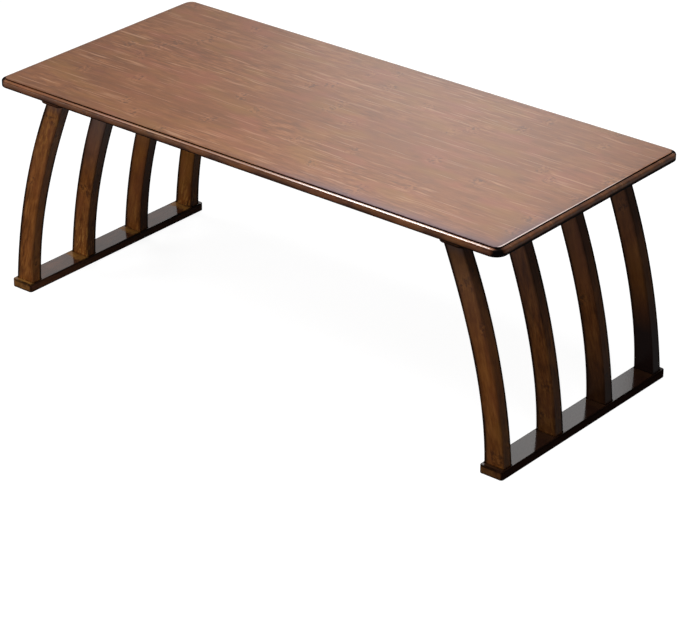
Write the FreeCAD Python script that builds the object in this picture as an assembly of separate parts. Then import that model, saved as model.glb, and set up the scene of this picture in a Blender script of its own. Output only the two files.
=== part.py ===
import FreeCAD, Part
import math
import os

# Low rectangular bamboo table on two folding end frames, in millimetres.
# +X runs along the top, +Y from the front long side to the back one, +Z is up.
# The origin is on the floor, under the middle of the table.
# Every piece is drawn on the right side and turned half round for the left side.

# Tabletop
top_length = 800.0
top_width = 370.0
top_thickness = 11.1
table_height = 304.3
top_corner_radius = 15.0
rim_width = 5.5                 # lowered rim round the raised panel
rim_drop = 1.2
rim_radius = 3.4
panel_arris = 0.5
under_arris = 1.1

# Foot rails
foot_rail_width = 34.0
foot_rail_thickness = 11.7
foot_rail_end_margin = 6.9      # stands past the outer faces of the outer legs
foot_rail_overhang = 4.6        # stands proud of the end of the top
foot_rail_corner_radius = 4.0
foot_rail_arris = 1.2

# Top rails
top_rail_width = 37.0
top_rail_thickness = 10.9
top_rail_end_margin = 7.35
top_rail_inset = 61.5           # end of the top to the rail's outboard face
top_rail_corner_radius = 8.0
top_rail_arris = 1.2

# Curved legs
leg_count = 4
leg_thickness = 16.2
leg_inset = 20.9                # long edge of the top to the outer face of an outer leg
leg_bow = 12.0                  # rise of the outboard edge over its chord
leg_foot_setback = 2.5
leg_top_setback = 5.8
leg_foot_width = 29.4
leg_waist_width = 27.3
leg_shoulder_width = 28.6
leg_top_width = 28.5
leg_waist_height = 80.0
leg_shoulder_height = 180.0
leg_arris = 1.3

# Hinge battens
batten_width = 38.0
batten_end_margin = 21.7        # stands past the ends of the hinges
batten_arris = 1.5

# Foot pads
pad_length = 52.0
pad_width = 18.0
pad_thickness = 1.6
pad_proud = 0.3
pad_pocket_clearance = 0.2

# Butt hinges
hinge_width = 50.0
leaf_length = 26.0
leaf_thickness = 2.0
leaf_corner_radius = 3.0
knuckle_radius = 3.0
knuckle_count = 5
pin_radius = 1.5
pin_head_radius = 2.2
pin_head_thickness = 0.8
leaf_outer_screw_reach = 19.0   # knuckle axis to the two outer screws
leaf_middle_screw_reach = 12.0
leaf_screw_spread = 16.0

# Folding stays
anchor_reach = 66.2             # hinge axis to the stay's pivot under the top
anchor_drop = 13.2
leg_pivot_drop = 30.0           # top rail to the stay's pivot on the leg
crank_length = 33.0
link_width = 14.0
link_thickness = 2.0
stop_tab_start = 5.0
stop_tab_length = 7.0
stop_tab_thickness = 2.0
bracket_length = 34.0
bracket_width = 24.0
bracket_thickness = 2.0
bracket_corner_radius = 3.0
bracket_screw_spread = 20.0
ear_width = 18.0
rivet_radius = 2.5
rivet_head_radius = 4.3
rivet_head_thickness = 1.5
cap_thickness = 1.1

# Screws: shank radius, head radius, head height, length
rail_screw_radius = 1.9
rail_screw_head_radius = 3.8
rail_screw_head_height = 2.6
rail_screw_length = 36.0
rail_screw_spacing = 11.0
batten_screw_radius = 1.8
batten_screw_head_radius = 3.6
batten_screw_head_height = 2.4
batten_screw_length = 18.5
batten_screw_offset = 12.7      # beside the ends of a hinge
leaf_screw_radius = 1.5
leaf_screw_head_radius = 3.1
leaf_screw_head_height = 1.8
leaf_screw_length = 10.5
bracket_screw_length = 9.5
leg_screw_length = 13.5
screw_point_length = 3.0
slot_width = 0.9
slot_depth = 1.2
slot_reach_share = 0.62

# Clearances
body_gap = 0.3                  # between pieces that move past each other
fit_clearance = 0.05            # round pins, rivets and screws
overrun = 2.0                   # how far a cutter passes the face that it cuts

# Places that follow from the sizes above
underside = table_height - top_thickness
foot_rail_bottom = pad_proud
foot_rail_top = foot_rail_bottom + foot_rail_thickness
foot_rail_outer = top_length / 2 + foot_rail_overhang
foot_rail_inner = foot_rail_outer - foot_rail_width
top_rail_top = underside - body_gap
top_rail_bottom = top_rail_top - top_rail_thickness
top_rail_outer = top_length / 2 - top_rail_inset
top_rail_inner = top_rail_outer - top_rail_width
hinge_x = top_rail_inner - body_gap
hinge_z = top_rail_bottom - knuckle_radius - body_gap
batten_outer = hinge_x - body_gap
batten_inner = batten_outer - batten_width
outer_leg_face = top_width / 2 - leg_inset
outer_leg_place = outer_leg_face - leg_thickness / 2
leg_pitch = 2 * outer_leg_place / (leg_count - 1)
leg_places = [leg_pitch * n - outer_leg_place for n in range(leg_count)]
bay_place = outer_leg_place - leg_pitch / 2     # middle of the gap between the two outermost legs
foot_rail_length = 2 * (outer_leg_face + foot_rail_end_margin)
top_rail_length = 2 * (outer_leg_face + top_rail_end_margin)
batten_length = 2 * (bay_place + hinge_width / 2 + batten_end_margin)
anchor_x = hinge_x - anchor_reach
anchor_z = underside - anchor_drop
leg_pivot_z = top_rail_bottom - leg_pivot_drop

# Layers of the stay, counted from the leg's side face towards the middle of the table
stay_leg_place = leg_places[leg_count // 2] - leg_thickness / 2
arm_outer_y = stay_leg_place - body_gap
arm_inner_y = arm_outer_y - link_thickness
crank_outer_y = arm_inner_y - body_gap
crank_inner_y = crank_outer_y - link_thickness
ear_outer_y = crank_inner_y - body_gap
ear_inner_y = ear_outer_y - bracket_thickness

y_axis = FreeCAD.Vector(0, 1, 0)
z_axis = FreeCAD.Vector(0, 0, 1)
origin = FreeCAD.Vector(0, 0, 0)


def point(x, y, z):
    return FreeCAD.Vector(x, y, z)


def block(x_low, x_high, y_low, y_high, z_low, z_high):
    return Part.makeBox(x_high - x_low, y_high - y_low, z_high - z_low, point(x_low, y_low, z_low))


def fuse(shapes):
    return shapes[0].multiFuse(shapes[1:]).removeSplitter()


def upright_edges(shape):
    return [edge for edge in shape.Edges
            if edge.BoundBox.XLength + edge.BoundBox.YLength < edge.BoundBox.ZLength / 2]


def edges_at_height(shape, z):
    return [edge for edge in shape.Edges
            if abs(edge.BoundBox.ZMin - z) + abs(edge.BoundBox.ZMax - z) < fit_clearance]


def plate(x_low, x_high, y_low, y_high, z_low, z_high, corner_radius):
    # A flat board with its upright corners rounded
    board = block(x_low, x_high, y_low, y_high, z_low, z_high)
    return board.makeFillet(corner_radius, upright_edges(board))


def turned_to_side(shape, side):
    # The left side is the right side turned half round about Z
    turned = shape.copy()
    if side == "left":
        turned.rotate(origin, z_axis, 180)
    return turned


def screw_profile(radius, head_radius, head_height, length, extra):
    # Half outline of a countersunk screw, head up at z = 0, swept round Z.
    # extra widens it all over, which makes the hole that the screw sits in.
    wide, thin = head_radius + extra, radius + extra
    tip = length + extra
    outline = [point(0, 0, 0), point(wide, 0, 0), point(thin, 0, -head_height),
               point(thin, 0, screw_point_length - tip), point(0, 0, -tip), point(0, 0, 0)]
    return Part.Face(Part.makePolygon(outline)).revolve(origin, z_axis, 360)


def pointed(shape, place, direction):
    # Carries a piece drawn head up at the origin to a place, with its tip along direction
    moved = shape.copy()
    turn = FreeCAD.Rotation(point(0, 0, -1), direction)
    moved.Placement = FreeCAD.Placement(place, turn)
    return moved


def cross_slot(head_radius):
    reach = head_radius * slot_reach_share
    half = slot_width / 2
    return block(-reach, reach, -half, half, -slot_depth, overrun).fuse(
        block(-half, half, -reach, reach, -slot_depth, overrun))


class ScrewSet:
    # Like screws that share one node: the solids, and the holes that take them
    def __init__(self, radius, head_radius, head_height, length, places, direction):
        body = screw_profile(radius, head_radius, head_height, length, 0)
        body = body.cut(cross_slot(head_radius))
        hole = screw_profile(radius, head_radius, head_height, length, fit_clearance)
        mouth = Part.makeCylinder(head_radius + fit_clearance, overrun)
        hole = hole.fuse(mouth)
        self.screws = [pointed(body, place, direction) for place in places]
        self.holes = [pointed(hole, place, direction) for place in places]

    def solids(self):
        return Part.makeCompound(self.screws)

    def drill(self, piece):
        return piece.cut(self.holes)


def tabletop():
    # Raised panel, a small step down to a rim with a rounded nose, and a plumb edge
    half_length, half_width = top_length / 2, top_width / 2
    rim_top = table_height - rim_drop
    slab = plate(-half_length, half_length, -half_width, half_width,
                 underside, rim_top, top_corner_radius)
    slab = slab.makeFillet(rim_radius, edges_at_height(slab, rim_top))
    slab = slab.makeFillet(under_arris, edges_at_height(slab, underside))
    panel_x, panel_y = half_length - rim_width, half_width - rim_width
    panel = plate(-panel_x, panel_x, -panel_y, panel_y,
                  rim_top, table_height, top_corner_radius - rim_width)
    panel = panel.makeFillet(panel_arris, edges_at_height(panel, table_height))
    return fuse([slab, panel])


def hinge_batten():
    batten = block(batten_inner, batten_outer, -batten_length / 2, batten_length / 2,
                   top_rail_bottom, underside)
    lower = edges_at_height(batten, top_rail_bottom)
    inner = [edge for edge in lower if edge.BoundBox.XMax < batten_outer - batten_arris]
    return batten.makeFillet(batten_arris, inner)


def top_rail():
    rail = plate(top_rail_inner, top_rail_outer, -top_rail_length / 2, top_rail_length / 2,
                 top_rail_bottom, top_rail_top, top_rail_corner_radius)
    lower = edges_at_height(rail, top_rail_bottom)
    away = [edge for edge in lower if edge.BoundBox.XMax > top_rail_inner + fit_clearance]
    return rail.makeChamfer(top_rail_arris, away)


def foot_rail():
    half = foot_rail_length / 2
    rail = plate(foot_rail_inner, foot_rail_outer, -half, half,
                 foot_rail_bottom, foot_rail_top, foot_rail_corner_radius)
    rail = rail.makeFillet(foot_rail_arris, edges_at_height(rail, foot_rail_top)
                           + edges_at_height(rail, foot_rail_bottom))
    roof = foot_rail_bottom + pad_thickness - pad_proud
    for y in (-bay_place, bay_place):
        pocket = pad_block(y, pad_pocket_clearance, foot_rail_bottom - overrun, roof)
        rail = rail.cut(pocket)
    return rail


def pad_block(y, spare, z_low, z_high):
    middle = (foot_rail_inner + foot_rail_outer) / 2
    half_width, half_length = pad_width / 2 + spare, pad_length / 2 + spare
    return plate(middle - half_width, middle + half_width, y - half_length, y + half_length,
                 z_low, z_high, half_width / 2)


def foot_pads():
    return Part.makeCompound([pad_block(y, 0, 0, pad_thickness) for y in (-bay_place, bay_place)])


class LegOutline:
    # Side view of a leg. The outboard edge is one arc over the chord from foot to top,
    # and the inboard edge is a curve that lies a named width inside it at four heights.
    def __init__(self):
        self.foot = (foot_rail_outer - leg_foot_setback, foot_rail_top)
        self.top = (top_rail_outer - leg_top_setback, top_rail_bottom)
        run, rise = self.top[0] - self.foot[0], self.top[1] - self.foot[1]
        chord = math.hypot(run, rise)
        self.radius = (chord * chord / 4 + leg_bow * leg_bow) / (2 * leg_bow)
        across, up = rise / chord, -run / chord
        middle = ((self.foot[0] + self.top[0]) / 2, (self.foot[1] + self.top[1]) / 2)
        self.crown = (middle[0] + leg_bow * across, middle[1] + leg_bow * up)
        self.centre = (self.crown[0] - self.radius * across, self.crown[1] - self.radius * up)
        self.widths = ((foot_rail_top, leg_foot_width), (leg_waist_height, leg_waist_width),
                       (leg_shoulder_height, leg_shoulder_width), (top_rail_bottom, leg_top_width))

    def outer_x(self, z):
        rise = z - self.centre[1]
        return self.centre[0] + math.sqrt(self.radius * self.radius - rise * rise)

    def middle_along(self, z_first, z_last, width):
        # X of an upright line that is midway in the wood between two heights
        return (self.outer_x(z_first) + self.outer_x(z_last) - width) / 2

    def inner_points(self):
        return [(self.outer_x(z) - width, z) for z, width in self.widths]

    def face(self, y):
        outer = Part.Arc(point(self.foot[0], y, self.foot[1]), point(self.crown[0], y, self.crown[1]),
                         point(self.top[0], y, self.top[1])).toShape()
        inner_points = [point(x, y, z) for x, z in self.inner_points()]
        inner = Part.BSplineCurve()
        inner.interpolate(inner_points)
        top = Part.LineSegment(point(self.top[0], y, self.top[1]), inner_points[-1]).toShape()
        foot = Part.LineSegment(inner_points[0], point(self.foot[0], y, self.foot[1])).toShape()
        return Part.Face(Part.Wire([outer, top, inner.toShape(), foot]))


leg_outline = LegOutline()
leg_pivot_x = leg_outline.outer_x(leg_pivot_z) - leg_top_width / 2
screw_reach = rail_screw_length - screw_point_length
foot_screw_x = leg_outline.middle_along(foot_rail_top, foot_rail_bottom + screw_reach, leg_foot_width)
top_screw_x = leg_outline.middle_along(top_rail_bottom, top_rail_top - screw_reach, leg_top_width)


def leg(place):
    face = leg_outline.face(place - leg_thickness / 2)
    solid = face.extrude(point(0, leg_thickness, 0))
    height = top_rail_bottom - foot_rail_top
    long_edges = [edge for edge in solid.Edges if edge.BoundBox.ZLength > height / 2]
    return solid.makeFillet(leg_arris, long_edges)


def knuckle_span(number, place):
    # Low and high Y of one knuckle, with the working gap taken off both ends
    pitch = hinge_width / knuckle_count
    low = place - hinge_width / 2 + pitch * number
    return low + body_gap / 2, low + pitch - body_gap / 2


def hinge_leaf(place, outward, numbers):
    # outward is 1 for the leaf on the rail and -1 for the leaf on the batten
    reach = knuckle_radius + body_gap
    near, far = sorted((hinge_x + outward * reach, hinge_x + outward * leaf_length))
    low, high = place - hinge_width / 2, place + hinge_width / 2
    z_low, z_high = top_rail_bottom - leaf_thickness, top_rail_bottom
    board = block(near, far, low, high, z_low, z_high)
    outer_x = hinge_x + outward * leaf_length
    corners = [edge for edge in upright_edges(board)
               if abs(edge.BoundBox.XMin - outer_x) < fit_clearance]
    pieces = [board.makeFillet(leaf_corner_radius, corners)]
    for number in numbers:
        y_low, y_high = knuckle_span(number, place)
        inner, outer = sorted((hinge_x, hinge_x + outward * reach))
        pieces.append(block(inner, outer, y_low, y_high, z_low, z_high))
        pieces.append(Part.makeCylinder(knuckle_radius, y_high - y_low,
                                        point(hinge_x, y_low, hinge_z), y_axis))
    bore = Part.makeCylinder(pin_radius + fit_clearance, hinge_width + 2 * overrun,
                             point(hinge_x, low - overrun, hinge_z), y_axis)
    return fuse(pieces).cut(bore)


def hinge_pin(place):
    low = place - hinge_width / 2
    shank = Part.makeCylinder(pin_radius, hinge_width, point(hinge_x, low, hinge_z), y_axis)
    heads = [Part.makeCylinder(pin_head_radius, pin_head_thickness, point(hinge_x, y, hinge_z), y_axis)
             for y in (low - pin_head_thickness, low + hinge_width)]
    return fuse([shank] + heads)


def leaf_screws(outward):
    places = []
    for hinge_y in (-bay_place, bay_place):
        for offset, reach in ((-leaf_screw_spread, leaf_outer_screw_reach), (0, leaf_middle_screw_reach),
                              (leaf_screw_spread, leaf_outer_screw_reach)):
            places.append(point(hinge_x + outward * reach, hinge_y + offset,
                                top_rail_bottom - leaf_thickness))
    return ScrewSet(leaf_screw_radius, leaf_screw_head_radius, leaf_screw_head_height,
                    leaf_screw_length, places, z_axis)


def batten_screws():
    middle = (batten_inner + batten_outer) / 2
    reach = hinge_width / 2 + batten_screw_offset
    places = [point(middle, end * bay_place + offset, top_rail_bottom)
              for end in (-1, 1) for offset in (-reach, reach)]
    return ScrewSet(batten_screw_radius, batten_screw_head_radius, batten_screw_head_height,
                    batten_screw_length, places, z_axis)


def leg_end_screws(middle, z, direction):
    places = [point(middle + offset, y, z) for y in leg_places
              for offset in (-rail_screw_spacing / 2, rail_screw_spacing / 2)]
    return ScrewSet(rail_screw_radius, rail_screw_head_radius, rail_screw_head_height,
                    rail_screw_length, places, direction)


def rod_along_y(radius, x, z, y_low, y_high):
    return Part.makeCylinder(radius, y_high - y_low, point(x, y_low, z), y_axis)


def link(start, end, y_low, y_high):
    # A flat bar with round ends, between two pivots given as (x, z)
    run, rise = end[0] - start[0], end[1] - start[1]
    length = math.hypot(run, rise)
    half = link_width / 2
    bar = block(0, length, 0, y_high - y_low, -half, half)
    ends = [Part.makeCylinder(half, y_high - y_low, point(x, 0, 0), y_axis) for x in (0, length)]
    body = fuse([bar] + ends)
    return placed_link(body, start, run, rise, y_low)


def placed_link(body, start, run, rise, y_low):
    turned = body.copy()
    turned.rotate(origin, y_axis, -math.degrees(math.atan2(rise, run)))
    turned.translate(point(start[0], y_low, start[1]))
    return turned


def stay_points():
    # The stay lies straight from the pivot under the top to the pivot on the leg
    run, rise = leg_pivot_x - anchor_x, leg_pivot_z - anchor_z
    length = math.hypot(run, rise)
    knee = (anchor_x + run * crank_length / length, anchor_z + rise * crank_length / length)
    return (anchor_x, anchor_z), knee, (leg_pivot_x, leg_pivot_z)


def stay_crank():
    # The short link, with a bent tab that stops the knee just past straight
    anchor, knee = stay_points()[:2]
    crank = link(anchor, knee, crank_inner_y, crank_outer_y)
    half = link_width / 2
    tab_end = stop_tab_start + stop_tab_length
    shelf = -half - body_gap
    neck = block(0, tab_end, 0, link_thickness, shelf - stop_tab_thickness, 0)
    neck = neck.cut(block(stop_tab_start, tab_end + overrun, -overrun, link_thickness + overrun,
                          shelf, overrun))
    tab = block(stop_tab_start, tab_end, 0, arm_outer_y - crank_inner_y,
                shelf - stop_tab_thickness, shelf)
    run, rise = knee[0] - anchor[0], knee[1] - anchor[1]
    stop = placed_link(fuse([neck, tab]), knee, run, rise, crank_inner_y)
    holes = [rod_along_y(rivet_radius + fit_clearance, x, z, crank_inner_y - overrun,
                         crank_outer_y + overrun) for x, z in (anchor, knee)]
    return fuse([crank, stop]).cut(holes)


def stay_arm():
    knee, pivot = stay_points()[1:]
    arm = link(knee, pivot, arm_inner_y, arm_outer_y)
    holes = [rod_along_y(rivet_radius + fit_clearance, x, z, arm_inner_y - overrun,
                         arm_outer_y + overrun) for x, z in (knee, pivot)]
    return arm.cut(holes)


def stay_bracket():
    # A plate under the top with one ear that hangs down to carry the crank
    anchor = stay_points()[0]
    low, high = anchor[0] - bracket_length / 2, anchor[0] + bracket_length / 2
    base = plate(low, high, ear_outer_y - bracket_width, ear_outer_y,
                 underside - bracket_thickness, underside, bracket_corner_radius)
    half = ear_width / 2
    ear = block(anchor[0] - half, anchor[0] + half, ear_inner_y, ear_outer_y, anchor[1], underside)
    nose = rod_along_y(half, anchor[0], anchor[1], ear_inner_y, ear_outer_y)
    hole = rod_along_y(rivet_radius + fit_clearance, anchor[0], anchor[1],
                       ear_inner_y - overrun, ear_outer_y + overrun)
    return fuse([base, ear, nose]).cut(hole)


def bracket_screws():
    inset = (bracket_width - bracket_thickness) / 2
    y = ear_outer_y - bracket_thickness - inset
    places = [point(anchor_x + offset, y, underside - bracket_thickness)
              for offset in (-bracket_screw_spread / 2, bracket_screw_spread / 2)]
    return ScrewSet(leaf_screw_radius, leaf_screw_head_radius, leaf_screw_head_height,
                    bracket_screw_length, places, z_axis)


def stay_pivot_rivet():
    # Fixed in the ear, with a second head that keeps the crank on
    x, z = stay_points()[0]
    keeper = crank_outer_y + body_gap
    return fuse([rod_along_y(rivet_head_radius, x, z, ear_inner_y - rivet_head_thickness, ear_inner_y),
                 rod_along_y(rivet_radius, x, z, ear_inner_y, keeper),
                 rod_along_y(rivet_head_radius, x, z, keeper, keeper + rivet_head_thickness)])


def stay_knee_rivet():
    # Head and shank in the crank, ending flush where the arm begins
    x, z = stay_points()[1]
    return fuse([rod_along_y(rivet_head_radius, x, z, crank_inner_y - rivet_head_thickness, crank_inner_y),
                 rod_along_y(rivet_radius, x, z, crank_inner_y, crank_outer_y)])


def stay_knee_cap():
    # The far end of the knee rivet, in the arm
    x, z = stay_points()[1]
    return fuse([rod_along_y(rivet_radius, x, z, arm_inner_y, arm_outer_y),
                 rod_along_y(rivet_head_radius, x, z, arm_outer_y, arm_outer_y + cap_thickness)])


def stay_leg_screw():
    # A shouldered screw through the arm into the side of the leg
    x, z = stay_points()[2]
    shoulder_end = arm_outer_y + body_gap
    tip = shoulder_end + leg_screw_length - screw_point_length
    head = rod_along_y(rivet_head_radius, x, z, arm_inner_y - rivet_head_thickness - body_gap,
                       arm_inner_y - body_gap)
    shoulder = rod_along_y(rivet_radius, x, z, arm_inner_y - body_gap, shoulder_end)
    shank = rod_along_y(rail_screw_radius, x, z, shoulder_end, tip)
    point_cone = Part.makeCone(rail_screw_radius, 0, screw_point_length, point(x, tip, z), y_axis)
    slot = pointed(cross_slot(rivet_head_radius),
                   point(x, arm_inner_y - body_gap - rivet_head_thickness, z), y_axis)
    return fuse([head, shoulder, shank, point_cone]).cut(slot)


def stay_screw_hole():
    x, z = stay_points()[2]
    tip = stay_leg_place + leg_screw_length - screw_point_length
    thin = rail_screw_radius + fit_clearance
    bore = rod_along_y(thin, x, z, stay_leg_place - overrun, tip)
    cone = Part.makeCone(thin, 0, screw_point_length + fit_clearance, point(x, tip, z), y_axis)
    return bore.fuse(cone)


def build_nodes():
    nodes = {}
    top = tabletop()
    rail_to_legs = leg_end_screws(top_screw_x, top_rail_top, point(0, 0, -1))
    foot_to_legs = leg_end_screws(foot_screw_x, foot_rail_bottom, z_axis)
    table_leaf_screws, frame_leaf_screws = leaf_screws(-1), leaf_screws(1)
    batten_fixings, bracket_fixings = batten_screws(), bracket_screws()
    batten = batten_fixings.drill(table_leaf_screws.drill(hinge_batten()))
    rail = frame_leaf_screws.drill(rail_to_legs.drill(top_rail()))
    foot = foot_to_legs.drill(foot_rail())
    pieces = {
        "hinge_batten": batten,
        "top_rail": rail,
        "foot_rail": foot,
        "foot_pads": foot_pads(),
        "batten_screws": batten_fixings.solids(),
        "top_rail_screws": rail_to_legs.solids(),
        "foot_rail_screws": foot_to_legs.solids(),
        "hinge_table_screws": table_leaf_screws.solids(),
        "hinge_frame_screws": frame_leaf_screws.solids(),
        "stay_bracket": bracket_fixings.drill(stay_bracket()),
        "stay_bracket_screws": bracket_fixings.solids(),
        "stay_pivot_rivet": stay_pivot_rivet(),
        "stay_crank": stay_crank(),
        "stay_knee_rivet": stay_knee_rivet(),
        "stay_knee_cap": stay_knee_cap(),
        "stay_arm": stay_arm(),
        "stay_leg_screw": stay_leg_screw(),
    }
    ends = {"front": -bay_place, "rear": bay_place}
    for side in ("left", "right"):
        for name, shape in pieces.items():
            nodes[side + "_" + name] = turned_to_side(shape, side)
        facing = -1 if side == "left" else 1
        for end, place in ends.items():
            drawn_at = facing * place
            stem = side + "_" + end + "_hinge_"
            table_leaf = table_leaf_screws.drill(hinge_leaf(drawn_at, -1, range(0, knuckle_count, 2)))
            frame_leaf = frame_leaf_screws.drill(hinge_leaf(drawn_at, 1, range(1, knuckle_count, 2)))
            nodes[stem + "table_leaf"] = turned_to_side(table_leaf, side)
            nodes[stem + "frame_leaf"] = turned_to_side(frame_leaf, side)
            nodes[stem + "pin"] = turned_to_side(hinge_pin(drawn_at), side)
        for number, place in enumerate(leg_places, 1):
            drawn_at = facing * place
            curved = foot_to_legs.drill(rail_to_legs.drill(leg(drawn_at)))
            if abs(drawn_at - leg_places[leg_count // 2]) < leg_thickness:
                curved = curved.cut(stay_screw_hole())
            nodes[side + "_leg_" + str(number)] = turned_to_side(curved, side)
        for fixings in (batten_fixings, bracket_fixings):
            top = top.cut([turned_to_side(hole, side) for hole in fixings.holes])
    nodes["tabletop"] = top
    return nodes


os.makedirs("parts", exist_ok=True)
for node, shape in build_nodes().items():
    shape.exportStep(os.path.join("parts", node + ".step"))
    print(node, len(shape.Solids), round(shape.Volume), shape.isValid())
print("stay points", [(round(x, 3), round(z, 3)) for x, z in stay_points()],
      "hinge axis", round(hinge_x, 3), round(hinge_z, 3))
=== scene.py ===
import math

import bpy
import numpy as np
from mathutils import Matrix, Vector


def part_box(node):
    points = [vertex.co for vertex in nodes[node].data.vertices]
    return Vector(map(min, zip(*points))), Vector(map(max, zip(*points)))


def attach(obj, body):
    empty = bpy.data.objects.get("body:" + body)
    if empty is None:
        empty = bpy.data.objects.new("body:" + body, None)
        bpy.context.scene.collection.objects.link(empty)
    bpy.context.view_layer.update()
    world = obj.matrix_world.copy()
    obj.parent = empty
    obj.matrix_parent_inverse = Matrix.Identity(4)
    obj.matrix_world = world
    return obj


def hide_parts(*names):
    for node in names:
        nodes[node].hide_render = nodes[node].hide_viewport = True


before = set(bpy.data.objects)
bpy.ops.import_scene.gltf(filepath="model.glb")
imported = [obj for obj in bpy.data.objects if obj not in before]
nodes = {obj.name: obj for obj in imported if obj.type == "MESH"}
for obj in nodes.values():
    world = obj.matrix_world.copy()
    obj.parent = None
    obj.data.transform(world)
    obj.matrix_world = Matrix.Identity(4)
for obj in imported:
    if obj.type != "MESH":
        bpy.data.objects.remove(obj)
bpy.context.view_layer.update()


# Curves, for whole arrays

def riseOver(value, start, end):
    # 0 up to the start, then straight up to 1 at the end
    return np.clip((value - start) / (end - start), 0, 1)


def bell(value, centre, width):
    # 1 at the centre, falling off on both sides
    return np.exp(-((value - centre) / width) ** 2)


def dieAway(distance, reach):
    # 1 up to a distance of 0, then fading over the reach
    return np.exp(-np.maximum(distance, 0) / reach)


def between(pair, share):
    # The pair's first value at a share of 0, and its second at 1
    return pair[0] + (pair[1] - pair[0]) * share


# Surfaces

def roundedLoop(cornerSteps, sideShares):
    # Outline of a rectangle with round corners, anticlockwise from the +X side, as two arrays. A point is
    # sign * (half size - radius) + radius * outward. On a side, sign goes evenly from corner to corner.
    turns = np.linspace(0, np.pi / 2, cornerSteps + 1)
    quarters = np.arange(4)[:, None] * np.pi / 2
    corners = np.array([[1, 1], [-1, 1], [-1, -1], [1, -1]], float)
    shares = np.asarray(sideShares)[None, :, None]
    alongSide = corners[:, None] * (1 - shares) + np.roll(corners, -1, axis=0)[:, None] * shares
    atCorner = np.repeat(corners[:, None], cornerSteps + 1, axis=1)
    signs = np.concatenate([atCorner, alongSide], axis=1).reshape(-1, 2)
    sideAngles = np.repeat(quarters + np.pi / 2, shares.size, axis=1)
    angles = np.concatenate([quarters + turns[None], sideAngles], axis=1).ravel()
    return signs, np.stack([np.cos(angles), np.sin(angles)], axis=-1)


def carriedLoops(loop, halfX, halfY, radius, height):
    # The same outline at each height, with its own half sizes: an array (ring, point, xyz)
    signs, outward = loop
    core = np.stack([halfX - radius, halfY - radius], axis=-1)[:, None]
    flat = signs[None] * core + outward[None] * np.broadcast_to(radius, halfX.shape)[:, None, None]
    rise = np.broadcast_to(height[:, None, None], flat.shape[:2] + (1,))
    return np.concatenate([flat, rise], axis=-1)


def arcPoints(centreX, centreZ, radiusX, radiusZ, start, end, steps):
    # Points of an ellipse's arc in the profile plane: centre + radii * (cos, sin), in degrees
    turns = np.radians(np.linspace(start, end, steps + 1))
    return np.stack([centreX + radiusX * np.cos(turns), centreZ + radiusZ * np.sin(turns)], 1)


def smoothMesh(name, rings, attributes):
    # Skin over rings of equal length: quads between neighbours, and one flat face on each end.
    # rings is an array (ring, point, xyz). attributes holds arrays (ring, point) or (ring, point, 3).
    count, size = rings.shape[:2]
    index = np.arange(count * size).reshape(count, size)
    here, beside = index[:-1], np.roll(index, -1, axis=1)[:-1]
    above, aboveBeside = index[1:], np.roll(index, -1, axis=1)[1:]
    quads = np.stack([here, beside, aboveBeside, above], -1).reshape(-1, 4)
    faces = quads.tolist() + [index[0, ::-1].tolist(), index[-1].tolist()]
    mesh = bpy.data.meshes.new(name)
    mesh.from_pydata(rings.reshape(-1, 3).tolist(), [], faces)
    mesh.polygons.foreach_set("use_smooth", [True] * len(quads) + [False, False])
    for key, values in attributes.items():
        vector = values.ndim == 3
        layer = mesh.attributes.new(key, "FLOAT_VECTOR" if vector else "FLOAT", "POINT")
        layer.data.foreach_set("vector" if vector else "value", values.astype(np.float32).ravel())
    mesh.update()
    piece = bpy.data.objects.new(name, mesh)
    bpy.context.scene.collection.objects.link(piece)
    return piece


# Tabletop

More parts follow.
